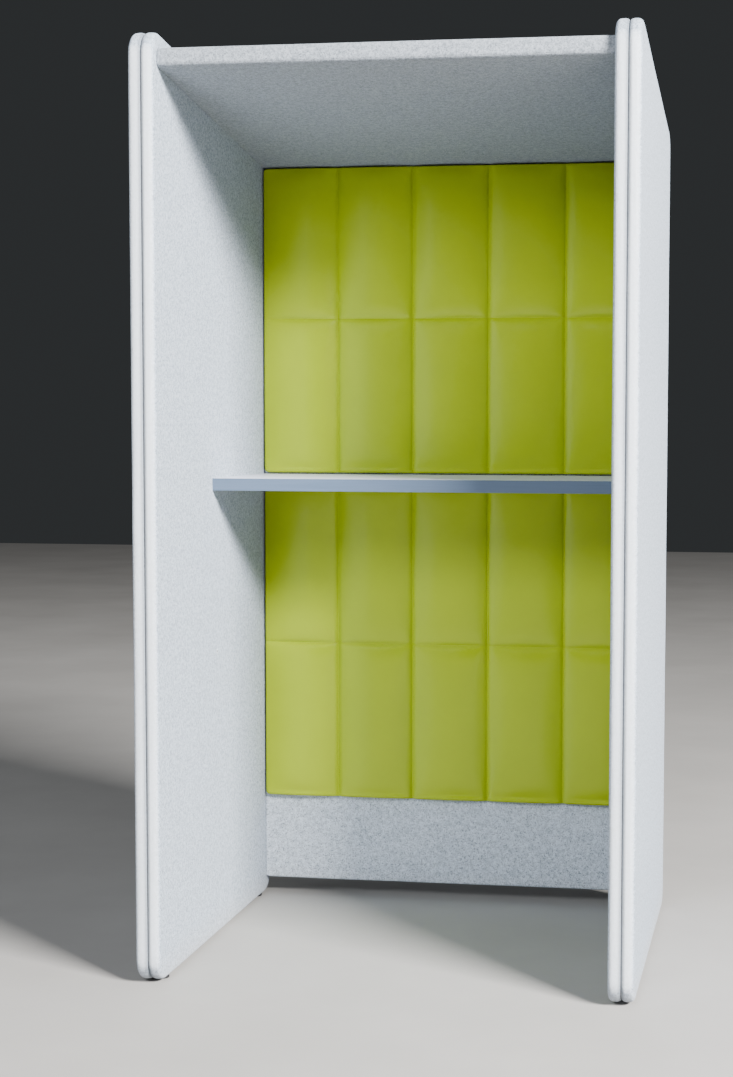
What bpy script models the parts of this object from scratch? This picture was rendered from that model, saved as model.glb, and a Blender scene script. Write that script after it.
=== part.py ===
"""A standing-height study carrel, in metres.

X runs across the carrel, Y from its open front to its back, and Z up. The origin is on the floor, under
the middle of the carrel. Each side panel is two padded halves: an inner half that carries the roof, the
back and the desk, and an outer half that is pressed on afterwards and hides the bolt heads.
"""

import math

import bmesh
import bpy
from mathutils import Vector

# Overall sizes.
WIDTH = 1.044
DEPTH = 0.900
HEIGHT = 1.980
REAR_DROP = 0.113
FLOOR_GAP = 0.005
CLEARANCE = 0.0003
END_GAP = 0.0005

# Side panels: each half is a board in a foam and cloth cover.
SIDE_BOARD = 0.020
SIDE_PADDING = 0.0065
SIDE_CORNER = 0.050
SIDE_RIM = 0.0105
GROOVE_WIDTH = 0.007
GROOVE_LAND = 0.0005

# Roof, which slopes with the top edges of the side panels.
ROOF_BOARD = 0.028
ROOF_PADDING = 0.005
ROOF_RIM = 0.010
ROOF_SETBACK = 0.028
ROOF_SINK = 0.036

# Back panel, and the two pads on it.
BACK_BOARD = 0.018
BACK_PADDING = 0.004
BACK_RIM = 0.006
BACK_INSET = 0.020
BACK_FLOOR_GAP = 0.042
BACK_ROOF_GAP = 0.001
PAD_BOARD = 0.006
PAD_FOAM = 0.0172
PAD_WRAP = 0.004
PAD_RIM = 0.006
PAD_CORNER = 0.010
PAD_SIDE_GAP = 0.004
PAD_ROOF_GAP = 0.005
PAD_DESK_GAP = 0.003
LOWER_PAD_BOTTOM = 0.254

# Desk shelf.
DESK_TOP = 1.053
DESK_DEPTH = 0.450
DESK_CORE = 0.025
LAMINATE = 0.001
EDGE_BAND = 0.002
EDGE_BAND_RIM = 0.0008

# Connector bolts. Their heads lie in the joint between the two halves of a side panel.
BOLT_HEAD_RADIUS = 0.0075
BOLT_HEAD = 0.003
BOLT_RADIUS = 0.003
BOLT_LENGTH = 0.050
BOLT_SOCKET_RADIUS = 0.0023
BOLT_SOCKET_DEPTH = 0.002
BOLT_TIP = 0.001
HEAD_SPACE = 0.0006
ROOF_BOLT_INSET = 0.100
BACK_BOLT_INSET = 0.160
DESK_BOLT_INSET = 0.090

# Double-ended press-in connectors that join the halves of a side panel.
STUD_RADIUS = 0.004
STUD_REACH = 0.014
STUD_BARBS = 1
STUD_INSET = 0.120

# Fir-tree clips that hold the pads.
CLIP_HEAD_RADIUS = 0.007
CLIP_HEAD = 0.0015
CLIP_RADIUS = 0.0025
CLIP_GRIP = 0.011
CLIP_BARBS = 2
CLIP_INSET = 0.090

# Barbs on the press-in connectors and the clips.
BARB = 0.0007
BARB_LENGTH = 0.002
BARB_PITCH = 0.004

# Levelling glides under the inner halves, and their threaded inserts.
GLIDE_INSET = 0.075
GLIDE_RADIUS = 0.013
GLIDE_RIM = 0.0015
STEM_RADIUS = 0.004
STEM_LENGTH = 0.034
STEM_TIP = 0.001
INSERT_RADIUS = 0.00575
INSERT_LENGTH = 0.018
INSERT_FLANGE_RADIUS = 0.00725
INSERT_FLANGE = 0.0015

# How finely round shapes are cut, and how far a cutter runs past the face it enters.
CORNER_STEPS = 6
RIM_STEPS = 3
FASTENER_SIDES = 12
SMALL_SIDES = 8
GLIDE_SIDES = 20
SMOOTH_ANGLE = math.radians(35)
OVERRUN = 0.002

# Sizes and places that follow from those above.
FRONT = -DEPTH / 2
REAR = DEPTH / 2
SLOPE = REAR_DROP / DEPTH
SLOPE_ANGLE = math.atan(SLOPE)

HALF_THICKNESS = CLEARANCE / 2 + SIDE_BOARD + CLEARANCE + SIDE_PADDING
ROOF_THICKNESS = ROOF_BOARD + 2 * (ROOF_PADDING + CLEARANCE)
BACK_THICKNESS = BACK_BOARD + 2 * (BACK_PADDING + CLEARANCE)
PAD_THICKNESS = PAD_BOARD + CLEARANCE + PAD_FOAM
DESK_THICKNESS = DESK_CORE + 2 * (LAMINATE + CLEARANCE)

MATING_X = WIDTH / 2 - HALF_THICKNESS
INNER_X = MATING_X - HALF_THICKNESS
SPAN_X = INNER_X - END_GAP

ROOF_FRONT = FRONT + ROOF_SETBACK
ROOF_LENGTH = (DEPTH - ROOF_SETBACK - BACK_INSET) / math.cos(SLOPE_ANGLE)
BACK_REAR = REAR - BACK_INSET
BACK_FRONT = BACK_REAR - BACK_THICKNESS
BACK_MIDDLE = (BACK_FRONT + BACK_REAR) / 2
PAD_REAR = BACK_FRONT - CLEARANCE
PAD_X = INNER_X - PAD_SIDE_GAP
DESK_REAR = BACK_FRONT - END_GAP
DESK_FRONT = DESK_REAR - DESK_DEPTH
DESK_BOTTOM = DESK_TOP - DESK_THICKNESS
CORE_TOP = DESK_TOP - LAMINATE - CLEARANCE
CORE_BOTTOM = CORE_TOP - DESK_CORE
CORE_FRONT = DESK_FRONT + EDGE_BAND + CLEARANCE
CLIP_LENGTH = PAD_BOARD + BACK_PADDING + CLIP_GRIP + 3 * CLEARANCE
BOARD_BOTTOM = FLOOR_GAP + SIDE_PADDING + CLEARANCE


def side_top(y):
    """Height of the side panels' top edge."""
    return HEIGHT - SLOPE * (y - FRONT)


def roof_top(y):
    """Height of the roof's upper face."""
    return side_top(y) - ROOF_SINK


def roof_underside(y):
    """Height of the roof's lower face."""
    return roof_top(y) - ROOF_THICKNESS / math.cos(SLOPE_ANGLE)


BACK_TOP = roof_underside(BACK_REAR) - BACK_ROOF_GAP

# The pads, each with its lowest and highest point.
PADS = {
    "upper": (DESK_TOP + PAD_DESK_GAP, roof_underside(PAD_REAR) - PAD_ROOF_GAP),
    "lower": (LOWER_PAD_BOTTOM, DESK_BOTTOM - PAD_DESK_GAP),
}
SIDES = {"left": -1, "right": 1}
ENDS = {"front": -1, "rear": 1}


# Finishes.
def finish(name, colour, roughness, metallic=0.0):
    """A plain finish: its colour, how dull it is, and whether it is metal."""
    material = bpy.data.materials.new(name)
    material.use_nodes = True
    shader = material.node_tree.nodes["Principled BSDF"]
    shader.inputs["Base Color"].default_value = (*colour, 1.0)
    shader.inputs["Roughness"].default_value = roughness
    shader.inputs["Metallic"].default_value = metallic
    return material


# Outlines and rings of points.
def rounded_loop(corners, radius, inset=0.0, steps=CORNER_STEPS):
    """Points round a convex outline, given anticlockwise, with round corners and drawn in by inset."""
    points = []
    for index, corner in enumerate(corners):
        corner = Vector(corner)
        before = (Vector(corners[index - 1]) - corner).normalized()
        after = (Vector(corners[(index + 1) % len(corners)]) - corner).normalized()
        half_angle = before.angle(after) / 2
        centre = corner + (before + after).normalized() * radius / math.sin(half_angle)
        start = math.atan2(before.x, -before.y)
        turn = math.pi - 2 * half_angle
        for step in range(steps + 1):
            angle = start + turn * step / steps
            points.append(centre + (radius - inset) * Vector((math.cos(angle), math.sin(angle))))
    return points


def rectangle(low, high):
    """The corners of an upright rectangle, anticlockwise."""
    return [(low[0], low[1]), (high[0], low[1]), (high[0], high[1]), (low[0], high[1])]


def soft_rim(face, radius, steps=RIM_STEPS):
    """Steps of (away, inset) round a soft edge that ends at a face."""
    angles = [math.pi / 2 * step / steps for step in range(steps + 1)]
    return [(face - radius + radius * math.sin(angle), radius - radius * math.cos(angle)) for angle in angles]


def round_ring(along, radius, sides):
    """A circle round the X axis."""
    angles = [math.tau * side / sides for side in range(sides)]
    return [(along, radius * math.cos(angle), radius * math.sin(angle)) for angle in angles]


def hexagon_ring(along, radius):
    """A hexagon round the X axis, with a point in the middle of each side too."""
    ring = round_ring(along, radius, FASTENER_SIDES)
    scales = (1, math.cos(math.pi / 6)) * (FASTENER_SIDES // 2)
    return [(x, y * scale, z * scale) for (x, y, z), scale in zip(ring, scales)]


def barbs(radius, tip, count):
    """The profile of a barbed end, as (along, radius) towards its tip."""
    profile = []
    for barb in range(count):
        foot = tip - BARB_LENGTH - (count - barb) * BARB_PITCH
        profile += [(foot, radius), (foot, radius + BARB), (foot + BARB_LENGTH, radius)]
    return profile + [(tip - BARB_LENGTH, radius), (tip, radius - BARB)]


# Solids.
def place(name, mesh, position=(0, 0, 0), turn=(0, 0, 0), parent=None):
    """Puts a mesh in the scene as one named piece."""
    piece = bpy.data.objects.new(name, mesh)
    piece.location = position
    piece.rotation_euler = turn
    piece.parent = parent
    bpy.context.scene.collection.objects.link(piece)
    return piece


def skin(name, rings, material, joined=False):
    """A closed mesh through rings of points: capped at both ends, or joined back to its first ring."""
    shape = bmesh.new()
    loops = [[shape.verts.new(point) for point in ring] for ring in rings]
    pairs = list(zip(loops, loops[1:]))
    if joined:
        pairs.append((loops[-1], loops[0]))
    else:
        shape.faces.new(loops[0])
        shape.faces.new(loops[-1])
    for first, second in pairs:
        for index in range(len(first)):
            after = (index + 1) % len(first)
            shape.faces.new((first[index], first[after], second[after], second[index]))
    bmesh.ops.recalc_face_normals(shape, faces=shape.faces)
    mesh = bpy.data.meshes.new(name)
    shape.to_mesh(mesh)
    shape.free()
    mesh.materials.append(material)
    mesh.shade_smooth()
    mesh.set_sharp_from_angle(angle=SMOOTH_ANGLE)
    return mesh


def turned(name, profile, material, sides=FASTENER_SIDES, joined=False):
    """A mesh turned about the X axis, from a profile of (along, radius)."""
    rings = [round_ring(along, radius, sides) for along, radius in profile]
    return skin(name, rings, material, joined)


def plank(name, section, material, parent=None):
    """A piece of one section that runs across between the side panels."""
    rings = [[(x, y, z) for y, z in section] for x in (-SPAN_X, SPAN_X)]
    return place(name, skin(name, rings, material), parent=parent)


def sleeve(name, outside, inside, parent=None):
    """Foam and cloth round a board, open at the two ends that butt against the side panels."""
    stations = ((-SPAN_X, outside), (SPAN_X, outside), (SPAN_X, inside), (-SPAN_X, inside))
    rings = [[(x, y, z) for y, z in loop] for x, loop in stations]
    return place(name, skin(name, rings, GREY_CLOTH, joined=True), parent=parent)


def wrapped_plank(name, low, high, rim, padding, parent=None):
    """A board and the sleeve round it, from the corners of the sleeve's section."""
    loops = []
    for edge in (0, padding, padding + CLEARANCE):
        section = rectangle((low[0] + edge, low[1] + edge), (high[0] - edge, high[1] - edge))
        loops.append(rounded_loop(section, rim - edge, steps=RIM_STEPS))
    cover = sleeve(name + "_cover", loops[0], loops[1], parent)
    board = plank(name + "_board", loops[2], PLYWOOD, parent)
    return board, cover


def bore(name, profile, position, turn=(0, 0, 0), parent=None, sides=FASTENER_SIDES):
    """A hidden round cutter, stepped by its profile of (along, radius)."""
    cutter = place(name, turned(name, profile, CUTTER, sides), position, turn, parent)
    cutter.hide_render = True
    cutter.display_type = "WIRE"
    return cutter


def cut(piece, cutter):
    """Cuts a hidden shape out of a piece."""
    modifier = piece.modifiers.new(cutter.name, "BOOLEAN")
    modifier.operation = "DIFFERENCE"
    modifier.object = cutter


for item in list(bpy.data.objects):
    bpy.data.objects.remove(item)

GREY_CLOTH = finish("grey_cloth", (0.68, 0.71, 0.73), 0.9)
LIME_VINYL = finish("lime_vinyl", (0.30, 0.35, 0.01), 0.45)
PLYWOOD = finish("plywood", (0.48, 0.33, 0.19), 0.75)
CHIPBOARD = finish("chipboard", (0.52, 0.41, 0.27), 0.85)
PALE_LAMINATE = finish("pale_laminate", (0.63, 0.64, 0.70), 0.35)
BLUE_GREY_BAND = finish("blue_grey_band", (0.27, 0.37, 0.48), 0.4)
ZINC_STEEL = finish("zinc_steel", (0.60, 0.60, 0.58), 0.35, 1.0)
WHITE_NYLON = finish("white_nylon", (0.75, 0.75, 0.72), 0.5)
BLACK_NYLON = finish("black_nylon", (0.02, 0.02, 0.02), 0.5)
CUTTER = finish("cutter", (0.5, 0.1, 0.1), 0.5)

POINTING_UP = (0, -math.pi / 2, 0)
POINTING_BACK = (0, 0, math.pi / 2)
POINTING_IN = {-1: (0, 0, 0), 1: (0, 0, math.pi)}


# Side panels. A half panel is made outwards from the joint between the two halves.
def side_loop(inset):
    """The outline of a side panel, seen from its side."""
    corners = [(FRONT, FLOOR_GAP), (REAR, FLOOR_GAP), (REAR, side_top(REAR)), (FRONT, HEIGHT)]
    return rounded_loop(corners, SIDE_CORNER, inset)


def half_panel_piece(name, side, direction, profile, material):
    """One piece of a half panel, through rings at (away, inset) from the joint and the outline."""
    rings = [
        [(side * MATING_X + direction * away, y, z) for y, z in side_loop(inset)]
        for away, inset in profile
    ]
    return place(name, skin(name, rings, material))


def half_panel(name, side, direction):
    """A board, and the foam and cloth cover that is drawn over its face and edges."""
    joint = CLEARANCE / 2
    board_inset = SIDE_PADDING + CLEARANCE
    board_profile = [(joint, board_inset), (joint + SIDE_BOARD, board_inset)]
    board = half_panel_piece(name + "_board", side, direction, board_profile, PLYWOOD)
    groove_depth = SIDE_PADDING - GROOVE_LAND
    groove = [
        (joint + GROOVE_WIDTH * (1 - math.cos(angle)), groove_depth * (1 - math.sin(angle)))
        for angle in [math.pi / 2 * step / RIM_STEPS for step in range(RIM_STEPS + 1)]
    ]
    pocket = [(HALF_THICKNESS - SIDE_PADDING, SIDE_PADDING), (joint, SIDE_PADDING)]
    cover_profile = pocket + groove + soft_rim(HALF_THICKNESS, SIDE_RIM)
    cover = half_panel_piece(name + "_cover", side, direction, cover_profile, GREY_CLOTH)
    return board, cover


def side_panel(label, side):
    """Both halves of a side panel, and the studs that press them together."""
    inner = half_panel(label + "_inner", side, -side)
    outer = half_panel(label + "_outer", side, side)
    for end, towards in ENDS.items():
        y = towards * (DEPTH / 2 - STUD_INSET)
        heights = {"bottom": FLOOR_GAP + STUD_INSET, "top": side_top(y) - STUD_INSET}
        for level, z in heights.items():
            name = f"{label}_stud_{end}_{level}"
            position = (side * MATING_X, y, z)
            place(name, STUD, position)
            reach = STUD_REACH + CLEARANCE
            radius = STUD_RADIUS + BARB + CLEARANCE
            space = bore(name + "_space", [(-reach, radius), (reach, radius)], position, sides=SMALL_SIDES)
            cut(inner[0], space)
            cut(outer[0], space)
    return inner


def stud_mesh():
    """A press-in connector with barbs at both ends."""
    end = barbs(STUD_RADIUS, STUD_REACH, STUD_BARBS)
    profile = [(-along, radius) for along, radius in reversed(end)] + end
    return turned("stud", profile, WHITE_NYLON, SMALL_SIDES)


# Connector bolts, which run from the joint of a side panel into the end of a board.
def bolt_mesh():
    """A flat-headed bolt with a hexagon socket."""
    rings = [hexagon_ring(BOLT_SOCKET_DEPTH, BOLT_SOCKET_RADIUS), hexagon_ring(0, BOLT_SOCKET_RADIUS)]
    tip = BOLT_HEAD + BOLT_LENGTH
    profile = [
        (0, BOLT_HEAD_RADIUS),
        (BOLT_HEAD, BOLT_HEAD_RADIUS),
        (BOLT_HEAD, BOLT_RADIUS),
        (tip - BOLT_TIP, BOLT_RADIUS),
        (tip, BOLT_RADIUS - BOLT_TIP),
    ]
    rings += [round_ring(along, radius, FASTENER_SIDES) for along, radius in profile]
    return skin("bolt", rings, ZINC_STEEL)


def bolt(name, side, y, z, pieces, parent=None):
    """One bolt from a side panel's joint inwards, and its space in the pieces that it passes through."""
    position = (side * (MATING_X - CLEARANCE / 2 - HEAD_SPACE), y, z)
    place(name, BOLT, position, POINTING_IN[side], parent)
    seat = BOLT_HEAD + CLEARANCE
    profile = [
        (-OVERRUN, BOLT_HEAD_RADIUS + CLEARANCE),
        (seat, BOLT_HEAD_RADIUS + CLEARANCE),
        (seat, BOLT_RADIUS + CLEARANCE),
        (BOLT_HEAD + BOLT_LENGTH + CLEARANCE, BOLT_RADIUS + CLEARANCE),
    ]
    space = bore(name + "_space", profile, position, POINTING_IN[side], parent)
    for piece in pieces:
        cut(piece, space)


# Roof. Its pieces lie in a frame that starts at its front upper edge and slopes down to the back.
def roof(inner_halves):
    """The sloping roof and its four bolts."""
    slope = place("roof_slope", None, (0, ROOF_FRONT, roof_top(ROOF_FRONT)), (-SLOPE_ANGLE, 0, 0))
    low, high = (0, -ROOF_THICKNESS), (ROOF_LENGTH, 0)
    board = wrapped_plank("roof", low, high, ROOF_RIM, ROOF_PADDING, slope)[0]
    along = {"front": ROOF_BOLT_INSET, "rear": ROOF_LENGTH - ROOF_BOLT_INSET}
    for label, side in SIDES.items():
        for end, y in along.items():
            name = f"roof_bolt_{label}_{end}"
            bolt(name, side, y, -ROOF_THICKNESS / 2, [board, *inner_halves[label]], slope)


# Back panel.
def back_panel(inner_halves):
    """The back board in its foam and cloth sleeve, and its four bolts. Returns the board and the sleeve."""
    low, high = (BACK_FRONT, BACK_FLOOR_GAP), (BACK_REAR, BACK_TOP)
    board, cover = wrapped_plank("back", low, high, BACK_RIM, BACK_PADDING)
    heights = {"bottom": BACK_FLOOR_GAP + BACK_BOLT_INSET, "top": BACK_TOP - BACK_BOLT_INSET}
    for label, side in SIDES.items():
        for level, z in heights.items():
            name = f"back_bolt_{label}_{level}"
            bolt(name, side, BACK_MIDDLE, z, [board, *inner_halves[label]])
    return board, cover


# Quilted pads. A pad is made forwards from the face of the back panel.
def clip_mesh():
    """A fir-tree clip: a flat head, and a barbed shank."""
    shank = [(CLIP_HEAD, CLIP_RADIUS)] + barbs(CLIP_RADIUS, CLIP_HEAD + CLIP_LENGTH, CLIP_BARBS)
    profile = [(0, CLIP_HEAD_RADIUS), (CLIP_HEAD, CLIP_HEAD_RADIUS)] + shank
    return turned("clip", profile, WHITE_NYLON, SMALL_SIDES)


def pad(label, bottom, top, back_pieces):
    """A pad: its board, its foam and vinyl, and the four clips that hold it on the back panel."""
    corners = rectangle((-PAD_X, bottom), (PAD_X, top))
    wrap = PAD_WRAP + CLEARANCE

    def rings(profile):
        return [
            [(x, PAD_REAR - away, z) for x, z in rounded_loop(corners, PAD_CORNER, inset, RIM_STEPS)]
            for away, inset in profile
        ]

    board_rings = rings([(0, wrap), (PAD_BOARD, wrap)])
    board = place(label + "_pad_board", skin(label + "_pad_board", board_rings, PLYWOOD))
    pocket = [(PAD_BOARD + CLEARANCE, PAD_WRAP), (0, PAD_WRAP), (0, 0)]
    foam_rings = rings(pocket + soft_rim(PAD_THICKNESS, PAD_RIM))
    foam = place(label + "_pad", skin(label + "_pad", foam_rings, LIME_VINYL))

    head_y = PAD_REAR - PAD_BOARD - CLEARANCE - CLIP_HEAD
    shank_radius = CLIP_RADIUS + BARB + CLEARANCE
    space_profile = [
        (-CLEARANCE, CLIP_HEAD_RADIUS + CLEARANCE),
        (CLIP_HEAD + CLEARANCE / 2, CLIP_HEAD_RADIUS + CLEARANCE),
        (CLIP_HEAD + CLEARANCE / 2, shank_radius),
        (CLIP_HEAD + CLIP_LENGTH + CLEARANCE, shank_radius),
    ]
    heights = {"bottom": bottom + CLIP_INSET, "top": top - CLIP_INSET}
    for side_label, side in SIDES.items():
        for level, z in heights.items():
            name = f"{label}_clip_{side_label}_{level}"
            position = (side * (PAD_X - CLIP_INSET), head_y, z)
            place(name, CLIP, position, POINTING_BACK)
            space = bore(name + "_space", space_profile, position, POINTING_BACK, sides=SMALL_SIDES)
            for piece in (foam, board, *back_pieces):
                cut(piece, space)


# Desk shelf.
def desk(inner_halves):
    """The chipboard core, the laminates on its two faces, the band on its front edge, and four bolts."""
    core = plank("desk_core", rectangle((CORE_FRONT, CORE_BOTTOM), (DESK_REAR, CORE_TOP)), CHIPBOARD)
    top = rectangle((CORE_FRONT, DESK_TOP - LAMINATE), (DESK_REAR, DESK_TOP))
    plank("desk_top_laminate", top, PALE_LAMINATE)
    under = rectangle((CORE_FRONT, DESK_BOTTOM), (DESK_REAR, DESK_BOTTOM + LAMINATE))
    plank("desk_under_laminate", under, PALE_LAMINATE)
    band = rectangle((DESK_FRONT, DESK_BOTTOM), (DESK_FRONT + EDGE_BAND, DESK_TOP))
    plank("desk_edge_band", rounded_loop(band, EDGE_BAND_RIM, steps=RIM_STEPS), BLUE_GREY_BAND)
    along = {"front": DESK_FRONT + DESK_BOLT_INSET, "rear": DESK_REAR - DESK_BOLT_INSET}
    for label, side in SIDES.items():
        for end, y in along.items():
            name = f"desk_bolt_{label}_{end}"
            bolt(name, side, y, (CORE_TOP + CORE_BOTTOM) / 2, [core, *inner_halves[label]])


# Levelling glides.
def glide_mesh():
    """A low round foot on a threaded stem, from the floor up."""
    foot = FLOOR_GAP - CLEARANCE
    angles = [math.pi / 2 * step / RIM_STEPS for step in range(RIM_STEPS + 1)]
    profile = [
        (GLIDE_RIM - GLIDE_RIM * math.cos(angle), GLIDE_RADIUS - GLIDE_RIM + GLIDE_RIM * math.sin(angle))
        for angle in angles
    ]
    profile += [
        (foot, GLIDE_RADIUS),
        (foot, STEM_RADIUS),
        (foot + STEM_LENGTH - STEM_TIP, STEM_RADIUS),
        (foot + STEM_LENGTH, STEM_RADIUS - STEM_TIP),
    ]
    return turned("glide", profile, BLACK_NYLON, GLIDE_SIDES)


def insert_mesh():
    """A flanged threaded insert, from its flange up."""
    hole = STEM_RADIUS + CLEARANCE
    profile = [
        (0, hole),
        (0, INSERT_FLANGE_RADIUS),
        (INSERT_FLANGE, INSERT_FLANGE_RADIUS),
        (INSERT_FLANGE, INSERT_RADIUS),
        (INSERT_FLANGE + INSERT_LENGTH, INSERT_RADIUS),
        (INSERT_FLANGE + INSERT_LENGTH, hole),
    ]
    return turned("insert", profile, ZINC_STEEL, joined=True)


def glide(label, side, end, towards, inner_half):
    """A glide, its insert, and their space in the inner half's board and cover."""
    x = side * (MATING_X - CLEARANCE / 2 - SIDE_BOARD / 2)
    y = towards * (DEPTH / 2 - GLIDE_INSET)
    place(f"glide_{label}_{end}", GLIDE, (x, y, 0), POINTING_UP)
    flange_bottom = BOARD_BOTTOM - CLEARANCE - INSERT_FLANGE
    place(f"glide_insert_{label}_{end}", INSERT, (x, y, flange_bottom), POINTING_UP)
    shoulder = BOARD_BOTTOM - CLEARANCE / 2
    insert_top = flange_bottom + INSERT_FLANGE + INSERT_LENGTH + CLEARANCE
    profile = [
        (FLOOR_GAP - OVERRUN, INSERT_FLANGE_RADIUS + CLEARANCE),
        (shoulder, INSERT_FLANGE_RADIUS + CLEARANCE),
        (shoulder, INSERT_RADIUS + CLEARANCE),
        (insert_top, INSERT_RADIUS + CLEARANCE),
        (insert_top, STEM_RADIUS + CLEARANCE),
        (FLOOR_GAP + STEM_LENGTH, STEM_RADIUS + CLEARANCE),
    ]
    space = bore(f"glide_{label}_{end}_space", profile, (x, y, 0), POINTING_UP)
    for piece in inner_half:
        cut(piece, space)


BOLT = bolt_mesh()
STUD = stud_mesh()
CLIP = clip_mesh()
GLIDE = glide_mesh()
INSERT = insert_mesh()

inner_halves = {label: side_panel(label, side) for label, side in SIDES.items()}
roof(inner_halves)
back_pieces = back_panel(inner_halves)
for label, (bottom, top) in PADS.items():
    pad(label, bottom, top, back_pieces)
desk(inner_halves)
for label, side in SIDES.items():
    for end, towards in ENDS.items():
        glide(label, side, end, towards, inner_halves[label])
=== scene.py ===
"""The finished look of a standing-height study carrel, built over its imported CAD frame, in metres.

X runs across the carrel, Y from its open front to its back, and Z up.
"""

import math

import bpy
from mathutils import Matrix, Vector, noise


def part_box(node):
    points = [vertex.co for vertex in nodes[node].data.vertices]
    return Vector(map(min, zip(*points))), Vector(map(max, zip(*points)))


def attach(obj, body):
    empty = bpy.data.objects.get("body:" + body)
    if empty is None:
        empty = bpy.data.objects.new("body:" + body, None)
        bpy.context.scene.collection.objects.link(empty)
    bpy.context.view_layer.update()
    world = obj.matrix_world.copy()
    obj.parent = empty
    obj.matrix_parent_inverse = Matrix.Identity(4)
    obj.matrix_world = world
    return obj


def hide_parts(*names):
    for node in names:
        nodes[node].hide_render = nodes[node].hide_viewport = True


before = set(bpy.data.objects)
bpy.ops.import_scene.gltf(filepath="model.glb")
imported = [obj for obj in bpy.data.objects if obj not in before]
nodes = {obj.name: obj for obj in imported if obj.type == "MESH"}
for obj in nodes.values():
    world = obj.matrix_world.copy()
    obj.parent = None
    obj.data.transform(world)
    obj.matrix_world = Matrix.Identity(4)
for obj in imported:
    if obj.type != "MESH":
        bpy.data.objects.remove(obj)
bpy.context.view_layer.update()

# ---------------------------------------------------------------------------------------------------
# The view. The carrel is seen from a little to the right of its open front, at chest height, with the
# camera turned slightly left and down.
EYE = Vector((0.8269, -4.4027, 1.1800))
TURNED_LEFT = 0.164
TILTED_UP = -0.0724
ROLLED = 0.0027
FOCAL_LENGTH = 66.9

lens = bpy.data.cameras.new("camera")
lens.sensor_width = 36
lens.lens = FOCAL_LENGTH
lens.shift_x = -0.090
lens.shift_y = 0.027
camera = bpy.data.objects.new("camera", lens)
ahead = Vector(
    (
        -math.sin(TURNED_LEFT) * math.cos(TILTED_UP),
        math.cos(TURNED_LEFT) * math.cos(TILTED_UP),
        math.sin(TILTED_UP),
    )
)
level_right = Vector((math.cos(TURNED_LEFT), math.sin(TURNED_LEFT), 0))
level_up = level_right.cross(ahead)
right = level_right * math.cos(ROLLED) + level_up * math.sin(ROLLED)
up = level_up * math.cos(ROLLED) - level_right * math.sin(ROLLED)
camera.matrix_world = Matrix.Translation(EYE) @ Matrix((right, up, -ahead)).transposed().to_4x4()
bpy.context.scene.collection.objects.link(camera)
bpy.context.scene.camera = camera


# ---------------------------------------------------------------------------------------------------
# The room. A pale, even floor and soft light: a window-like key light on the right of the open front,
# two weaker ones that fill from the front and the left, and a dim even surround.
def linear(code):
    """An sRGB hex colour as linear red, green, blue and alpha."""
    parts = [int(code[i : i + 2], 16) / 255 for i in (1, 3, 5)]
    return (*(c / 12.92 if c <= 0.04045 else ((c + 0.055) / 1.055) ** 2.4 for c in parts), 1.0)


def add(tree, kind, inputs=None, **settings):
    """Adds one node, with its settings, and its inputs as values or as outputs to link from."""
    node = tree.nodes.new(kind)
    for name, value in settings.items():
        setattr(node, name, value)
    for name, value in (inputs or {}).items():
        if isinstance(value, bpy.types.NodeSocket):
            tree.links.new(value, node.inputs[name])
        else:
            node.inputs[name].default_value = value
    return node


def material(name):
    """A new material with an output and nothing else, and its node tree."""
    made = bpy.data.materials.new(name)
    made.use_nodes = True
    made.node_tree.nodes.clear()
    return made, made.node_tree


def surface(tree, inputs, bump=None):
    """Ends a material: its shader, from its inputs, and a bump of (height, distance in metres)."""
    shader = add(tree, "ShaderNodeBsdfPrincipled", inputs)
    if bump:
        height, distance = bump
        raised = add(tree, "ShaderNodeBump", {"Height": height, "Distance": distance, "Strength": 1.0})
        tree.links.new(raised.outputs["Normal"], shader.inputs["Normal"])
    add(tree, "ShaderNodeOutputMaterial", {"Surface": shader.outputs["BSDF"]})


def blend(tree, share, first, second):
    """The colour output of a mix of two colours by a share from 0 to 1."""
    mix = add(tree, "ShaderNodeMix", data_type="RGBA")
    for socket, value in ((mix.inputs[0], share), (mix.inputs[6], first), (mix.inputs[7], second)):
        if isinstance(value, bpy.types.NodeSocket):
            tree.links.new(value, socket)
        else:
            socket.default_value = value
    return mix.outputs[2]


# Power-floated concrete floor: matt, with broad faint clouding from the float.
concrete, tree = material("power_floated_concrete")
place = add(tree, "ShaderNodeTexCoord").outputs["Object"]
clouds = add(tree, "ShaderNodeTexNoise", {"Vector": place, "Scale": 1.6, "Detail": 6.0, "Roughness": 0.6})
colour = blend(tree, clouds.outputs["Fac"], linear("#918F8C"), linear("#A9A7A4"))
surface(tree, {"Base Color": colour, "Roughness": 0.75})

FLOOR_REACH = 14
floor_mesh = bpy.data.meshes.new("floor")
corners = [(-1, -1), (1, -1), (1, 1), (-1, 1)]
floor_mesh.from_pydata([(x * FLOOR_REACH, y * FLOOR_REACH, 0.0) for x, y in corners], [], [(0, 1, 2, 3)])
floor_mesh.materials.append(concrete)
floor = bpy.data.objects.new("floor", floor_mesh)
bpy.context.scene.collection.objects.link(floor)

surround = bpy.data.worlds.new("surround")
surround.use_nodes = True
surround.node_tree.nodes.clear()
glow = add(surround.node_tree, "ShaderNodeBackground", {"Color": linear("#B9C0C4"), "Strength": 0.06})
add(surround.node_tree, "ShaderNodeOutputWorld", {"Surface": glow.outputs["Background"]})
bpy.context.scene.world = surround


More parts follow.
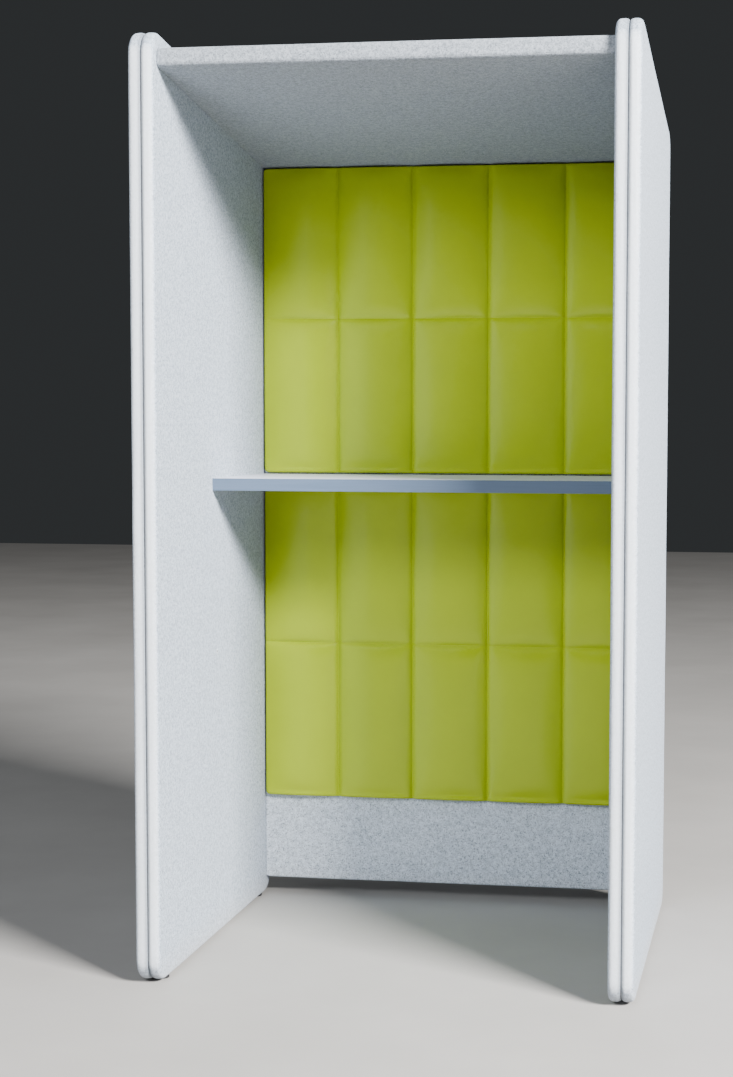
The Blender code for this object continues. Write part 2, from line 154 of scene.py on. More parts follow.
def window(name, azimuth, elevation, distance, width, height, power, code, shows=True):
    """A soft rectangular light that faces the carrel, at angles to the right of its front and above it.
    A light that doesn't show has no reflection."""
    light = bpy.data.lights.new(name, "AREA")
    light.shape = "RECTANGLE"
    light.size, light.size_y = width, height
    light.energy = power
    light.color = linear(code)[:3]
    a, e = math.radians(azimuth), math.radians(elevation)
    towards = Vector((math.sin(a) * math.cos(e), -math.cos(a) * math.cos(e), math.sin(e)))
    lamp = bpy.data.objects.new(name, light)
    lamp.location = Vector((0, 0, 1.0)) + towards * distance
    lamp.rotation_euler = towards.to_track_quat("Z", "Y").to_euler()
    lamp.visible_glossy = shows
    bpy.context.scene.collection.objects.link(lamp)


KEY_LIGHT, FILL_LIGHT = "#FFFDFB", "#F6FAFF"
window("key_window", 50, 26, distance=9.0, width=2.8, height=1.4, power=4900, code=KEY_LIGHT)
window("front_window", -8, 24, distance=8.0, width=3.0, height=2.0, power=440, code=FILL_LIGHT, shows=False)
window("side_window", -80, 50, distance=8.0, width=6.0, height=4.0, power=190, code=FILL_LIGHT, shows=False)

# ---------------------------------------------------------------------------------------------------
# Side panels. Each is two padded halves: a board with foam on its face and edges, in stretched grey
# felted cloth. The halves press together on barbed studs, and the groove between them is where both
# cloths turn in to the boards.
PANEL_FRONT, PANEL_REAR = -0.450, 0.450
PANEL_BOTTOM = 0.005
PANEL_TOP_FRONT, PANEL_TOP_REAR = 1.980, 1.867
PANEL_CORNER = 0.050
JOINT_X = 0.49505
JOINT_GAP = 0.00015
HALF_THICK = 0.02695
BOARD_INSET = 0.0065
BOARD_THICK = 0.0203
ROLL = 0.0115
TUCK_WIDTH, TUCK_DEPTH = 0.0095, 0.0060
FACE_CROWN = 0.0008
FACE_UNEVEN = 0.0007
JOINT_EVEN = 0.004
ARC_POINTS = 8
PROFILE_STEPS = 6
ALONG_DEPTH = 22
ALONG_HEIGHT = 48

# Wool felt, woven then milled: light grey mixed fibres, soft and quite matt, with a faint weave. Its
# real thread is under 1 mm; here it is drawn at 2.4 mm, the least that shows.
# Tones: dark flecks, also used for painted shade in the joint's groove; a painted highlight for edge crowns
# and fixing rings; dust near the floor.
FELT_FLECK_AND_SHADE, FELT_PAINTED_HIGHLIGHT, FELT_DUSTY = "#4F555C", "#D3D9DF", "#A89F97"
THREAD = 0.0024
FELT_RELIEF = 0.00045
# Two small fixings through the left inner face, at (Y, Z), each with the cloth drawn up in a ring.
FIXINGS = [(-0.018, 0.658), (0.324, 0.519)]
# Painted shade: the near-black colour inside each fixing hole.
FIXING_HOLE_SHADE = "#2A2B2D"


def wool_felt(name, pale, dark):
    """Grey felt of mixed fibres, between two tones, with painted highlights and painted shade."""
    made, tree = material(name)
    place = add(tree, "ShaderNodeTexCoord").outputs["Object"]
    bunches = {"Vector": place, "Scale": 130.0, "Detail": 4.0, "Roughness": 0.65}
    cloudy = add(tree, "ShaderNodeTexNoise", bunches).outputs["Fac"]
    hairs = {"Vector": place, "Scale": 300.0, "Detail": 3.0, "Roughness": 0.7}
    fibres = add(tree, "ShaderNodeTexNoise", hairs).outputs["Fac"]
    mixed = add(tree, "ShaderNodeMath", {0: cloudy, 1: fibres}, operation="ADD").outputs[0]
    share = add(tree, "ShaderNodeMapRange", {"Value": mixed, "From Min": 0.78, "From Max": 1.16})
    tone = blend(tree, share.outputs[0], linear(dark), linear(pale))
    flecks = add(tree, "ShaderNodeTexNoise", {"Vector": place, "Scale": 420.0, "Detail": 1.0})
    few = {"Value": flecks.outputs["Fac"], "From Min": 0.56, "From Max": 0.70, "To Max": 0.75}
    tone = blend(tree, add(tree, "ShaderNodeMapRange", few).outputs[0], tone, linear(FELT_FLECK_AND_SHADE))
    split = add(tree, "ShaderNodeSeparateXYZ", {0: place}).outputs
    # Brushed and dusty close to the floor.
    near_floor = {"Value": split["Z"], "From Min": 0.075, "From Max": 0.0, "To Max": 0.55}
    low_down = add(tree, "ShaderNodeMapRange", near_floor).outputs[0]
    scuffed = add(tree, "ShaderNodeMath", {0: low_down, 1: cloudy}, operation="MULTIPLY")
    tone = blend(tree, scuffed.outputs[0], tone, linear(FELT_DUSTY))
    # Painted highlight: paler on the crowns of the front and rear edges, where they catch the light.
    edge_on = add(tree, "ShaderNodeMath", {0: split["Y"]}, operation="ABSOLUTE").outputs[0]
    edge_highlight = {"Value": edge_on, "From Min": 0.4435, "From Max": 0.4495, "To Max": 0.75}
    tone = blend(tree, add(tree, "ShaderNodeMapRange", edge_highlight).outputs[0], tone, linear(FELT_PAINTED_HIGHLIGHT))
    # Darker where the two halves' cloths tuck in to the joint: dust, and painted shade in the groove.
    across = add(tree, "ShaderNodeMath", {0: split["X"]}, operation="ABSOLUTE").outputs[0]
    off_joint = add(tree, "ShaderNodeMath", {0: across, 1: JOINT_X}, operation="SUBTRACT").outputs[0]
    beside = add(tree, "ShaderNodeMath", {0: off_joint}, operation="ABSOLUTE").outputs[0]
    groove_dust_and_shade = {"Value": beside, "From Min": 0.0095, "From Max": 0.0030, "To Max": 0.62}
    tone = blend(tree, add(tree, "ShaderNodeMapRange", groove_dust_and_shade).outputs[0], tone, linear(FELT_FLECK_AND_SHADE))
    # A wave texture's bands repeat every tau / 20 of its scaled length.
    weave = {"Vector": place, "Scale": math.tau / 20 / THREAD, "Distortion": 2.2}
    weave.update({"Detail": 2.0, "Detail Scale": 0.5})
    waves = [
        add(tree, "ShaderNodeTexWave", weave, wave_type="BANDS", bands_direction=axis).outputs["Fac"]
        for axis in "XYZ"
    ]
    woven = add(tree, "ShaderNodeMath", {0: waves[0], 1: waves[1]}, operation="ADD").outputs[0]
    woven = add(tree, "ShaderNodeMath", {0: woven, 1: waves[2]}, operation="ADD").outputs[0]
    raised = add(tree, "ShaderNodeMath", {0: woven, 1: 0.5, 2: mixed}, operation="MULTIPLY_ADD").outputs[0]
    for y, z in FIXINGS:
        spot = FACE_CROWN - (JOINT_X - HALF_THICK), y, z
        away = add(tree, "ShaderNodeVectorMath", {0: place, 1: spot}, operation="DISTANCE").outputs["Value"]
        in_hole = {"Value": away, "From Min": 0.0034, "From Max": 0.0024}
        in_ring = {"Value": away, "From Min": 0.0062, "From Max": 0.0046}
        hole = add(tree, "ShaderNodeMapRange", in_hole).outputs[0]
        ring = add(tree, "ShaderNodeMapRange", in_ring).outputs[0]
        # Painted highlight on each drawn-up ring, painted shade in each hole.
        tone = blend(tree, ring, tone, linear(FELT_PAINTED_HIGHLIGHT))
        tone = blend(tree, hole, tone, linear(FIXING_HOLE_SHADE))
        for part, height in ((ring, 2.5), (hole, -6.0)):
            lift = {0: part, 1: height, 2: raised}
            raised = add(tree, "ShaderNodeMath", lift, operation="MULTIPLY_ADD").outputs[0]
    soft = {
        "Base Color": tone,
        "Roughness": 0.92,
        "Specular IOR Level": 0.25,
        "Sheen Weight": 0.18,
        "Sheen Roughness": 0.5,
        "Sheen Tint": linear("#EEF2F6"),
    }
    surface(tree, soft, bump=(raised, FELT_RELIEF))
    return made


felt = wool_felt("grey_wool_felt", "#AFBBC9", "#7E8996")


def arc(corners, index, radius, inset):
    """Points round one rounded corner of a convex outline given anticlockwise, drawn in by inset."""
    corner = Vector(corners[index])
    before = (Vector(corners[index - 1]) - corner).normalized()
    after = (Vector(corners[(index + 1) % len(corners)]) - corner).normalized()
    half_angle = before.angle(after) / 2
    centre = corner + (before + after).normalized() * radius / math.sin(half_angle)
    start = math.atan2(before.x, -before.y)
    turn = math.pi - 2 * half_angle
    angles = [start + turn * step / ARC_POINTS for step in range(ARC_POINTS + 1)]
    return [centre + (radius - inset) * Vector((math.cos(a), math.sin(a))) for a in angles]


def outline(corners, radius, inset, counts):
    """Four sides of a rounded outline, each from the middle of one corner to just before the next."""
    arcs = [arc(corners, index, radius, inset) for index in range(4)]
    half = ARC_POINTS // 2
    sides = []
    for index in range(4):
        first, last = arcs[index], arcs[(index + 1) % 4]
        count = counts[index % 2]
        straight = [first[-1].lerp(last[0], step / count) for step in range(1, count)]
        sides.append(first[half:] + straight + last[:half])
    return sides


def fill(sides):
    """A grid of points within four sides, as rows from the first side to the third."""
    bottom, rear, top, front = (side + [sides[(index + 1) % 4][0]] for index, side in enumerate(sides))
    top, front = top[::-1], front[::-1]
    across, along = len(bottom) - 1, len(front) - 1
    rows = []
    for j in range(along + 1):
        v = (front[j].y - front[0].y) / (front[-1].y - front[0].y)
        row = []
        for i in range(across + 1):
            u = (bottom[i].x - bottom[0].x) / (bottom[-1].x - bottom[0].x)
            edges = bottom[i] * (1 - v) + top[i] * v + front[j] * (1 - u) + rear[j] * u
            ends = (bottom[0] * (1 - u) + bottom[-1] * u) * (1 - v) + (top[0] * (1 - u) + top[-1] * u) * v
            row.append(edges - ends)
        rows.append(row)
    return rows


def skinned(name, points, faces, covering):
    """A smooth-shaded piece from its points and faces, in one material."""
    mesh = bpy.data.meshes.new(name)
    mesh.from_pydata([tuple(point) for point in points], [], faces)
    mesh.update()
    mesh.materials.append(covering)
    mesh.shade_smooth()
    piece = bpy.data.objects.new(name, mesh)
    bpy.context.scene.collection.objects.link(piece)
    return piece


def soften(piece):
    """Rounds a skin with one subdivision."""
    smooth = piece.modifiers.new("smooth", "SUBSURF")
    smooth.levels = smooth.render_levels = 1
    return piece


def border(across, along):
    """The places (column, row) round the rim of a grid, in order."""
    rim = [(i, 0) for i in range(across)] + [(across, j) for j in range(along)]
    return rim + [(i, along) for i in range(across, 0, -1)] + [(0, j) for j in range(along, 0, -1)]


def wrapped(name, rings, start, end, covering):
    """A closed body of rings of points, with a grid to close the first ring and one to close the last."""
    count = len(rings[0])
    points = [point for ring in rings for point in ring]
    faces = []
    for ring in range(len(rings) - 1):
        a, b = ring * count, (ring + 1) * count
        for index in range(count):
            after = (index + 1) % count
            faces.append((a + index, b + index, b + after, a + after))
    across, along = len(end[0]) - 1, len(end) - 1
    for grid, first, flip in ((start, 0, True), (end, (len(rings) - 1) * count, False)):
        number = {cell: first + index for index, cell in enumerate(border(across, along))}
        for j in range(1, along):
            for i in range(1, across):
                number[i, j] = len(points)
                points.append(grid[j][i])
        for j in range(along):
            for i in range(across):
                face = (number[i, j], number[i, j + 1], number[i + 1, j + 1], number[i + 1, j])
                faces.append(face[::-1] if flip else face)
    piece = skinned(name, points, faces, covering)
    mesh = piece.data
    middle = sum((vertex.co for vertex in mesh.vertices), Vector()) / len(mesh.vertices)
    if sum(face.normal.dot(face.center - middle) * face.area for face in mesh.polygons) < 0:
        mesh.flip_normals()
    return piece


def uneven(piece, seed, amount, wanted):
    """Moves the wanted points of a skin in or out a little, as foam and cloth are never quite flat."""
    mesh = piece.data
    normals = [vertex.normal.copy() for vertex in mesh.vertices]
    offset = Vector((seed * 7.3, seed * 3.1, seed * 5.7))
    for vertex, normal in zip(mesh.vertices, normals):
        if wanted(vertex.co):
            broad = noise.noise(vertex.co * 6.0 + offset)
            fine = noise.noise(vertex.co * 17.0 + offset)
            vertex.co += normal * amount * (0.7 * broad + 0.3 * fine)


PANEL_CORNERS = [
    (PANEL_FRONT, PANEL_BOTTOM),
    (PANEL_REAR, PANEL_BOTTOM),
    (PANEL_REAR, PANEL_TOP_REAR),
    (PANEL_FRONT, PANEL_TOP_FRONT),
]


def panel_profile():
    """The skin's section from the joint out to the face, as (away from the joint, in from the edge)."""
    angles = [math.pi / 2 * step / PROFILE_STEPS for step in range(PROFILE_STEPS + 1)]
    turned_in = [
        (JOINT_GAP + TUCK_WIDTH * (1 - math.cos(a)), TUCK_DEPTH * (1 - math.sin(a))) for a in angles
    ]
    rolled = [(HALF_THICK - ROLL + ROLL * math.sin(a), ROLL * (1 - math.cos(a))) for a in angles]
    return turned_in + rolled[1:]


def half_panel(name, side, direction, seed):
    """The padded cover of one half, built out from the joint."""

    def at(away, point):
        return Vector((side * JOINT_X + direction * away, point.x, point.y))

    counts = (ALONG_DEPTH, ALONG_HEIGHT)
    pocket = [(JOINT_GAP + BOARD_THICK, BOARD_INSET), (JOINT_GAP, BOARD_INSET)]
    rings = []
    for away, inset in pocket + panel_profile():
        sides = outline(PANEL_CORNERS, PANEL_CORNER, inset, counts)
        rings.append([at(away, point) for side_points in sides for point in side_points])
    sides = outline(PANEL_CORNERS, PANEL_CORNER, ROLL, counts)
    middle, reach = (PANEL_FRONT + PANEL_REAR) / 2, (PANEL_REAR - PANEL_FRONT) / 2
    grid = [
        [at(HALF_THICK + FACE_CROWN * (1 - ((point.x - middle) / reach) ** 2), point) for point in row]
        for row in fill(sides)
    ]
    bed = [
        [at(JOINT_GAP + BOARD_THICK, point) for point in row]
        for row in fill(outline(PANEL_CORNERS, PANEL_CORNER, BOARD_INSET, counts))
    ]
    piece = wrapped(name, rings, bed, grid, felt)
    uneven(piece, seed, FACE_UNEVEN, lambda co: abs(abs(co.x) - JOINT_X) > JOINT_EVEN)
    return soften(piece)


for side_name, side in (("left", -1), ("right", 1)):
    for half_name, direction in (("inner", -side), ("outer", side)):
        cover = f"{side_name}_{half_name}_cover"
        skin = half_panel(f"{side_name}_{half_name}_felt", side, direction, side * 2 + direction)
        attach(skin, "carrel")
        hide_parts(cover)

# ---------------------------------------------------------------------------------------------------
# Roof and back panel. Each is a board in a sleeve of the same foam and felt, open at the two ends that
# butt against the side panels, where the cloth is pulled in slightly.
SPAN = 0.4676
STATIONS = 44
END_PULL, END_PULL_REACH = 0.0012, 0.006
SLEEVE_UNEVEN = 0.0006
SLEEVE_END = 0.002
SECTION_STEPS = 5
SECTION_GAP = 0.030


def rounded_section(low, high, radius):
    """Points round a rectangle with round corners."""
    corners = [(low[0], low[1]), (high[0], low[1]), (high[0], high[1]), (low[0], high[1])]
    points = []
    for index in range(4):
        corner = Vector(corners[index])
        before = (Vector(corners[index - 1]) - corner).normalized()
        after = (Vector(corners[(index + 1) % 4]) - corner).normalized()
        centre = corner + (before + after) * radius
        start = math.atan2(before.x, -before.y)
        for step in range(SECTION_STEPS + 1):
            angle = start + math.pi / 2 * step / SECTION_STEPS
            points.append(centre + radius * Vector((math.cos(angle), math.sin(angle))))
    dense = []
    for index, point in enumerate(points):
        after = points[(index + 1) % len(points)]
        gap = (after - point).length
        pieces = max(1, round(gap / SECTION_GAP))
        dense += [point.lerp(after, piece / pieces) for piece in range(pieces)]
    return dense


def sleeve(name, low, high, radius, padding, crown, seed, to_frame, covering):
    """A padded sleeve between x = -SPAN and SPAN, from the corners of its section."""
    middle = (Vector(low) + Vector(high)) / 2
    outside = rounded_section(low, high, radius)
    half = (Vector(high) - Vector(low)) / 2
    drawn_in = Vector((1 - padding / half.x, 1 - padding / half.y))
    inside = [middle + (point - middle) * drawn_in for point in outside]
    stations = [SPAN * math.sin(math.pi / 2 * (2 * k / STATIONS - 1)) for k in range(STATIONS + 1)]
    rings = []
    for x in stations:
        pull = END_PULL * math.exp(-((SPAN - abs(x)) / END_PULL_REACH))
        swell = crown * (1 - (x / SPAN) ** 2) - pull
        ring = []
        for point in outside:
            away = (point - middle).normalized()
            ring.append(to_frame(Vector((x, point.x, point.y)) + Vector((0, away.x, away.y)) * swell))
        rings.append(ring)
    for x in (SPAN, -SPAN):
        rings.append([to_frame(Vector((x, point.x, point.y))) for point in inside])
    count = len(outside)
    points = [point for ring in rings for point in ring]
    faces = []
    for ring in range(len(rings)):
        a, b = ring * count, (ring + 1) % len(rings) * count
        for index in range(count):
            after = (index + 1) % count
            faces.append((a + index, a + after, b + after, b + index))
    piece = skinned(name, points, faces, covering)
    uneven(piece, seed, SLEEVE_UNEVEN, lambda co: abs(co.x) < SPAN - SLEEVE_END)
    return soften(piece)


SLOPE = math.atan((PANEL_TOP_FRONT - PANEL_TOP_REAR) / (PANEL_REAR - PANEL_FRONT))
ROOF_FRONT = -0.422
ROOF_SINK = 0.036
ROOF_THICK = 0.0386
ROOF_LENGTH = 0.852 / math.cos(SLOPE)
panel_top = PANEL_TOP_FRONT - math.tan(SLOPE) * (ROOF_FRONT - PANEL_FRONT)
roof_edge = Vector((0, ROOF_FRONT, panel_top - ROOF_SINK))
roof_lean = Matrix.Rotation(-SLOPE, 3, "X")
# The same felt, drawn a tone darker than the side panels' as painted shade.
roof_felt_cloth = wool_felt("grey_wool_felt_painted_shade", "#949BA3", "#6B7279")
roof_skin = sleeve(
    "roof_felt",
    low=(0, -ROOF_THICK),
    high=(ROOF_LENGTH, 0),
    radius=0.009,
    padding=0.005,
    crown=0.0004,
    seed=5,
    to_frame=lambda point: roof_lean @ point + roof_edge,
    covering=roof_felt_cloth,
)
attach(roof_skin, "carrel")
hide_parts("roof_cover")

back_low, back_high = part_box("back_cover")
# The same felt, drawn a tone paler than the side panels' as painted light.
back_felt_cloth = wool_felt("grey_wool_felt_painted_light", "#D3DCE6", "#A3ADB8")
back_skin = sleeve(
    "back_felt",
    low=(back_low.y, back_low.z),
    high=(back_high.y, back_high.z),
    radius=0.006,
    padding=0.004,
    crown=0.0003,
    seed=9,
    to_frame=lambda point: point,
    covering=back_felt_cloth,
)
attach(back_skin, "carrel")
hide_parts("back_cover")

# ---------------------------------------------------------------------------------------------------
# Quilted pads, above and below the desk. Each is a thin board with deep foam under lime-green vinyl,
# sewn through into five columns and two rows, with a narrow hem along its bottom edge.
COLUMNS = 5
PAD_HALF = 0.4641
SEAM_DEPTH = 0.0128
ROW_SEAM_DEPTH, ROW_EASE, ROW_FALLOFF = 0.0072, 0.040, 2.4
ROW_CREASE_DEPTH, ROW_CREASE_WIDTH = 0.0012, 0.004
SHOULDER_DEPTH, SHOULDER, SHOULDER_FALLOFF = 0.0058, 0.018, 2.2
SEAM_SHARPNESS = 0.6
STEPS_ACROSS, STEPS_UP = 20, 30
HEM = 0.0135
TOP_HEM = 0.0045
PAD_ROLL = 0.007
PAD_BOARD_BED = 0.0063
PAD_TURN_IN = 0.004
SWELL_PRESSURE = 3.0
SWELL_MOST = 0.004
SWELL_STEPS = 24
VINYL_GRAIN = 0.0016
GRAIN_RELIEF = 0.00006
CROWN_PROUD = 0.004
ROW_SEAMS = {"upper": 1.431, "lower": 0.6375}

# Upholstery vinyl: PVC skin embossed with a fine leather grain, semi-gloss, a strong yellow-green.
vinyl, tree = material("lime_upholstery_vinyl")
place = add(tree, "ShaderNodeTexCoord").outputs["Object"]
patches = add(tree, "ShaderNodeTexNoise", {"Vector": place, "Scale": 9.0, "Detail": 4.0})
tone = blend(tree, patches.outputs["Fac"], linear("#96A800"), linear("#A0B200"))
pebbles = {"Vector": place, "Scale": 1 / VINYL_GRAIN, "Randomness": 0.9}
pores = add(tree, "ShaderNodeTexVoronoi", pebbles, feature="DISTANCE_TO_EDGE")
pebbled = add(tree, "ShaderNodeMapRange", {"Value": pores.outputs["Distance"], "From Max": 0.12})
hazy = add(tree, "ShaderNodeTexNoise", {"Vector": place, "Scale": 24.0, "Detail": 3.0})
dull = add(tree, "ShaderNodeMapRange", {"Value": hazy.outputs["Fac"], "To Min": 0.19, "To Max": 0.25})
# The skin puckers beside each sewn channel, in a strip narrower than the mesh carries.
apart = add(tree, "ShaderNodeSeparateXYZ", {0: place}).outputs
from_left = add(tree, "ShaderNodeMath", {0: apart["X"], 1: PAD_HALF}, operation="ADD").outputs[0]
beside = add(tree, "ShaderNodeMath", {0: from_left, 1: PAD_HALF / COLUMNS}, operation="PINGPONG").outputs[0]
to_rows = []
for seam in ROW_SEAMS.values():
    over = add(tree, "ShaderNodeMath", {0: apart["Z"], 1: seam}, operation="SUBTRACT").outputs[0]
    to_rows.append(add(tree, "ShaderNodeMath", {0: over}, operation="ABSOLUTE").outputs[0])
above = add(tree, "ShaderNodeMath", {0: to_rows[0], 1: to_rows[1]}, operation="MINIMUM").outputs[0]
relief = pebbled.outputs[0]
for gap, width, drop in ((beside, 0.010, 0.0012), (above, 0.012, 0.0014)):
    near = add(tree, "ShaderNodeMapRange", {"Value": gap, "From Min": width, "From Max": 0.0}).outputs[0]
    dip = add(tree, "ShaderNodeMath", {0: near, 1: 2.4}, operation="POWER").outputs[0]
    sunk = {0: dip, 1: -drop / GRAIN_RELIEF, 2: relief}
    relief = add(tree, "ShaderNodeMath", sunk, operation="MULTIPLY_ADD").outputs[0]
sheet = {"Base Color": tone, "Roughness": dull.outputs[0], "IOR": 1.5, "Specular IOR Level": 0.37}
surface(tree, sheet, bump=(relief, GRAIN_RELIEF))


def spread(low, high, count):
    """Places from low to high, closer together near both ends."""
    shares = [step / count for step in range(count + 1)]
    eased = [0.15 * t + 0.85 * (0.5 - 0.5 * math.cos(math.pi * t)) for t in shares]
    return [low + (high - low) * t for t in eased]


def inflate(piece, held):
    """Lets the skin between the held points swell as cloth, moving no point further than SWELL_MOST."""
    group = piece.vertex_groups.new(name="held")
    group.add(held, 1.0, "REPLACE")
    cloth = piece.modifiers.new("swell", "CLOTH")
    settings = cloth.settings
    settings.quality = 6
    settings.mass = 0.15
    settings.tension_stiffness = settings.compression_stiffness = 25
    settings.shear_stiffness = 8
    settings.bending_stiffness = 0.6
    settings.air_damping = 2
    settings.use_pressure = True
    settings.uniform_pressure_force = SWELL_PRESSURE
    settings.vertex_group_mass = "held"
    settings.effector_weights.gravity = 0
    cloth.collision_settings.use_collision = False
    cloth.point_cache.frame_start, cloth.point_cache.frame_end = 1, SWELL_STEPS
    scene = bpy.context.scene
    for step in range(1, SWELL_STEPS + 1):
        scene.frame_set(step)
    settled = piece.evaluated_get(bpy.context.evaluated_depsgraph_get())
    places = [vertex.co.copy() for vertex in settled.data.vertices]
    piece.modifiers.remove(cloth)
    piece.vertex_groups.clear()
    scene.frame_set(1)
    for vertex, moved in zip(piece.data.vertices, places):
        step = moved - vertex.co
        vertex.co += step * min(1.0, SWELL_MOST / max(step.length, 1e-9))


def quilted_pad(name, low, high, row_seam):
    """One quilted pad within a box, with its row seam at a height."""
    front, rear = low.y - CROWN_PROUD, high.y
    left, far = low.x + PAD_ROLL, high.x - PAD_ROLL
    bottom = low.z + PAD_ROLL
    column_seams = [low.x + (high.x - low.x) * k / COLUMNS for k in range(1, COLUMNS)]
    xs = []
    cells_x = [left] + column_seams + [far]
    for a, b in zip(cells_x, cells_x[1:]):
        xs += spread(a, b, STEPS_ACROSS)[:-1]
    xs.append(far)
    hem_z, top_z = low.z + HEM, high.z - TOP_HEM
    zs = [bottom, (bottom + hem_z) / 2]
    for a, b in ((hem_z, row_seam), (row_seam, top_z)):
        zs += spread(a, b, STEPS_UP)[:-1]
    zs.append(top_z)
    cells_z = [hem_z, row_seam, top_z]

    def nearest(value, lines):
        return min(abs(value - line) for line in lines)

    def depth(x, z):
        """How far the skin lies behind the crown of its cell."""
        beside = min(1.0, nearest(x, cells_x) / ((high.x - low.x) / COLUMNS / 2))
        above = min(1.0, nearest(z, cells_z) / ROW_EASE)
        crown = 1 - (1 - beside) ** 2
        sewn = ROW_SEAM_DEPTH / SEAM_DEPTH * (1 - above) ** ROW_FALLOFF
        crease = SHOULDER_DEPTH * max(0.0, 1 - nearest(x, column_seams) / SHOULDER) ** SHOULDER_FALLOFF
        crease += ROW_CREASE_DEPTH * math.exp(-abs(z - row_seam) / ROW_CREASE_WIDTH)
        return SEAM_DEPTH * (1 - crown * (1 - sewn)) + crease

    grid = [[Vector((x, front + depth(x, z), z)) for x in xs] for z in zs]
    across, along = len(xs) - 1, len(zs) - 1
    roll = [(math.sin(a), 1 - math.cos(a)) for a in (math.pi / 2 * k / 5 for k in range(6))]
    rim_top = front + SEAM_DEPTH
    rings = []
    stations = [(out * PAD_ROLL, down * PAD_ROLL * 0.6) for out, down in roll]
    stations += [(PAD_ROLL, (rear - rim_top) * 0.8), (PAD_ROLL, rear - rim_top)]
    turned = PAD_ROLL - PAD_TURN_IN
    stations += [(turned, rear - rim_top), (turned, rear - rim_top - PAD_BOARD_BED)]
    for out, down in stations:
        ring = []
        for i, j in border(across, along):
            point = grid[j][i]
            way = Vector(((i == across) - (i == 0), 0, (j == along) - (j == 0))).normalized()
            back = point.y + (rear - point.y) * (down / (rear - rim_top))
            ring.append(Vector((point.x + way.x * out, back, point.z + way.z * out)))
        rings.append(ring)
    bed = [[Vector((point.x, rear - PAD_BOARD_BED, point.z)) for point in row] for row in grid]
    piece = wrapped(name, rings[::-1], bed, grid, vinyl)
    held = []
    for vertex in piece.data.vertices:
        on_column = nearest(vertex.co.x, cells_x) < 1e-5
        on_row = nearest(vertex.co.z, cells_z) < 1e-5
        outside = not (left < vertex.co.x < far and hem_z < vertex.co.z < top_z)
        if on_column or on_row or outside or vertex.co.y > front + SEAM_DEPTH + 0.001:
            held.append(vertex.index)
    inflate(piece, held)
    sharp = piece.data.attributes.new("crease_edge", "FLOAT", "EDGE")
    for edge in piece.data.edges:
        ends = [piece.data.vertices[index].co for index in edge.vertices]
        on_column = all(nearest(end.x, column_seams) < 1e-4 for end in ends)
        on_row = all(abs(end.z - row_seam) < 1e-4 for end in ends)
        deepest = front + SEAM_DEPTH + SHOULDER_DEPTH + 0.0015
        if (on_column or on_row) and max(end.y for end in ends) < deepest:
            sharp.data[edge.index].value = SEAM_SHARPNESS
    return soften(piece)


for pad_name, seam in ROW_SEAMS.items():
    low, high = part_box(f"{pad_name}_pad")
    pad_skin = quilted_pad(f"{pad_name}_pad_vinyl", low, high, seam)
    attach(pad_skin, "carrel")
    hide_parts(f"{pad_name}_pad")

# ---------------------------------------------------------------------------------------------------
# Desk shelf. Chipboard with a pale high-pressure laminate on both faces and a blue-grey edge band
# glued along its front.

# High-pressure laminate: pale lavender-white melamine with a fine suede press, low sheen.
laminate, tree = material("pale_suede_laminate")
place = add(tree, "ShaderNodeTexCoord").outputs["Object"]
speck = add(tree, "ShaderNodeTexNoise", {"Vector": place, "Scale": 700.0, "Detail": 2.0})
tone = blend(tree, speck.outputs["Fac"], linear("#D2D4E8"), linear("#DEE0F0"))
rubbed = add(tree, "ShaderNodeTexNoise", {"Vector": place, "Scale": 8.0, "Detail": 3.0})
gloss = add(tree, "ShaderNodeMapRange", {"Value": rubbed.outputs["Fac"], "To Min": 0.30, "To Max": 0.42})
pressed = {"Base Color": tone, "Roughness": gloss.outputs[0], "IOR": 1.5}
surface(tree, pressed, bump=(speck.outputs["Fac"], 0.00003))

# ABS edge band: extruded and printed solid blue-grey, with a light pearl press and a satin face.
band, tree = material("blue_grey_abs_band")
place = add(tree, "ShaderNodeTexCoord").outputs["Object"]
stretched = add(tree, "ShaderNodeMapping", {"Vector": place, "Scale": (6.0, 300.0, 300.0)})
drawn = add(tree, "ShaderNodeTexNoise", {"Vector": stretched.outputs["Vector"], "Scale": 1.0, "Detail": 3.0})
tone = blend(tree, drawn.outputs["Fac"], linear("#4A596D"), linear("#546479"))
gloss = add(tree, "ShaderNodeMapRange", {"Value": drawn.outputs["Fac"], "To Min": 0.32, "To Max": 0.42})
extruded = {"Base Color": tone, "Roughness": gloss.outputs[0], "IOR": 1.54}
surface(tree, extruded, bump=(drawn.outputs["Fac"], 0.00003))

# Chipboard: pressed wood chips of 2 to 4 mm, raw and dull where it is cut.
chipboard, tree = material("raw_chipboard")
place = add(tree, "ShaderNodeTexCoord").outputs["Object"]
chips = add(tree, "ShaderNodeTexVoronoi", {"Vector": place, "Scale": 340.0})
tone = blend(tree, chips.outputs["Color"], linear("#A98757"), linear("#CDB184"))
surface(tree, {"Base Color": tone, "Roughness": 0.88}, bump=(chips.outputs["Distance"], 0.0003))


def finish(names, made):
    """Gives CAD pieces their finish."""
    for name in names:
        for slot in nodes[name].material_slots:
            slot.material = made


finish(["desk_top_laminate", "desk_under_laminate"], laminate)
finish(["desk_edge_band"], band)
finish(["desk_core"], chipboard)

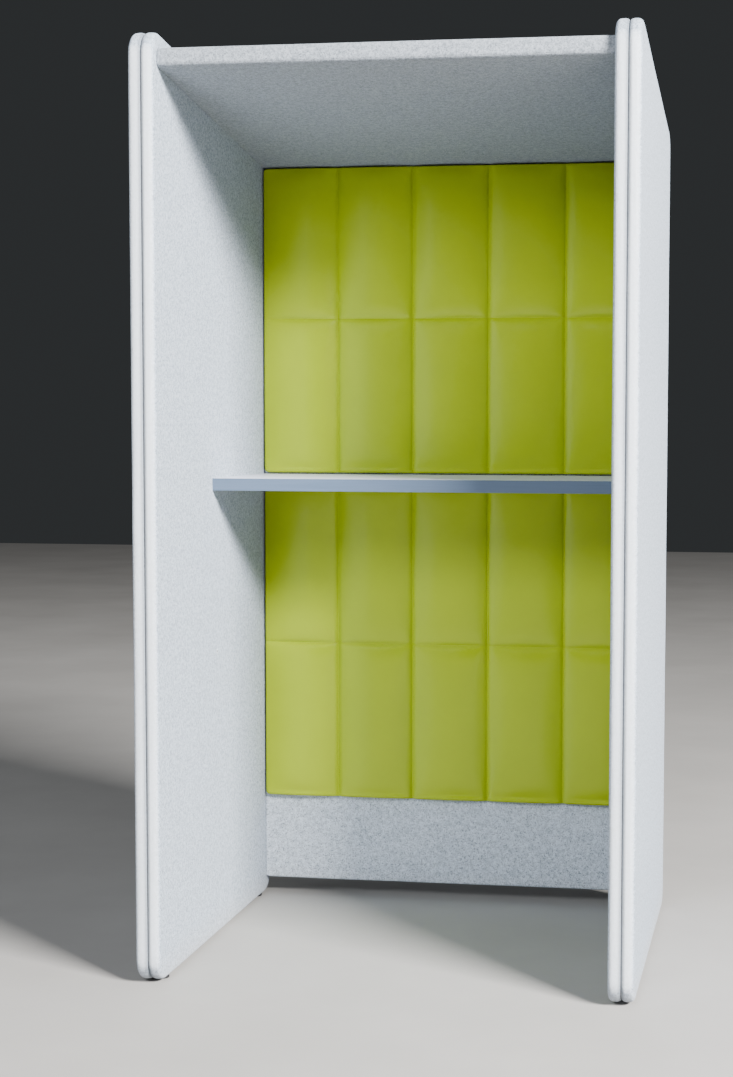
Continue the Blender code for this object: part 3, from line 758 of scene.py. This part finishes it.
# ---------------------------------------------------------------------------------------------------
# Boards inside the upholstery, one for each padded piece. They are sawn from birch plywood, raw and
# matt, with the grain running up the panels.
plywood, tree = material("birch_plywood")
place = add(tree, "ShaderNodeTexCoord").outputs["Object"]
along = add(tree, "ShaderNodeMapping", {"Vector": place, "Scale": (60.0, 60.0, 3.0)})
rings = {"Vector": along.outputs["Vector"], "Scale": 2.2, "Detail": 6.0, "Distortion": 0.8}
grain = add(tree, "ShaderNodeTexNoise", rings)
tone = blend(tree, grain.outputs["Fac"], linear("#B98F5F"), linear("#E2C596"))
surface(tree, {"Base Color": tone, "Roughness": 0.72}, bump=(grain.outputs["Fac"], 0.0002))
finish([name for name in nodes if name.endswith("_board")], plywood)

# ---------------------------------------------------------------------------------------------------
# Fastenings, all hidden in the boards: bolts and threaded inserts of bright zinc-plated steel, and
# press-in studs and clips of natural white nylon.

# Zinc-plated steel: thin bright bluish plate over turned metal, slightly streaked.
zinc, tree = material("zinc_plated_steel")
place = add(tree, "ShaderNodeTexCoord").outputs["Object"]
streaks = add(tree, "ShaderNodeTexNoise", {"Vector": place, "Scale": 420.0, "Detail": 3.0})
tone = blend(tree, streaks.outputs["Fac"], linear("#B7B9B8"), linear("#D5D7D8"))
gloss = add(tree, "ShaderNodeMapRange", {"Value": streaks.outputs["Fac"], "To Min": 0.24, "To Max": 0.42})
surface(tree, {"Base Color": tone, "Metallic": 1.0, "Roughness": gloss.outputs[0]})
finish([name for name in nodes if "_bolt_" in name or "_insert_" in name], zinc)


# Moulded nylon: slightly waxy, with the faint ripple of the mould.
def moulded_nylon(name, low, high):
    """Moulded nylon in a colour that varies between two."""
    made, tree = material(name)
    place = add(tree, "ShaderNodeTexCoord").outputs["Object"]
    ripple = add(tree, "ShaderNodeTexNoise", {"Vector": place, "Scale": 380.0, "Detail": 2.0})
    tone = blend(tree, ripple.outputs["Fac"], linear(low), linear(high))
    gloss = add(tree, "ShaderNodeMapRange", {"Value": ripple.outputs["Fac"], "To Min": 0.42, "To Max": 0.55})
    waxy = {"Base Color": tone, "Roughness": gloss.outputs[0], "IOR": 1.53}
    surface(tree, waxy, bump=(ripple.outputs["Fac"], 0.00005))
    return made


push_fits = [name for name in nodes if "_stud_" in name or "_clip_" in name]
finish(push_fits, moulded_nylon("natural_nylon", "#D9D7CE", "#E6E4DC"))

# ---------------------------------------------------------------------------------------------------
# Levelling glides, two under each inner half. Black nylon feet are moulded on threaded stems, which
# screw in the zinc-plated inserts.
glides = [name for name in nodes if name.startswith("glide_") and "_insert_" not in name]
finish(glides, moulded_nylon("black_nylon", "#1B1B1C", "#262628"))
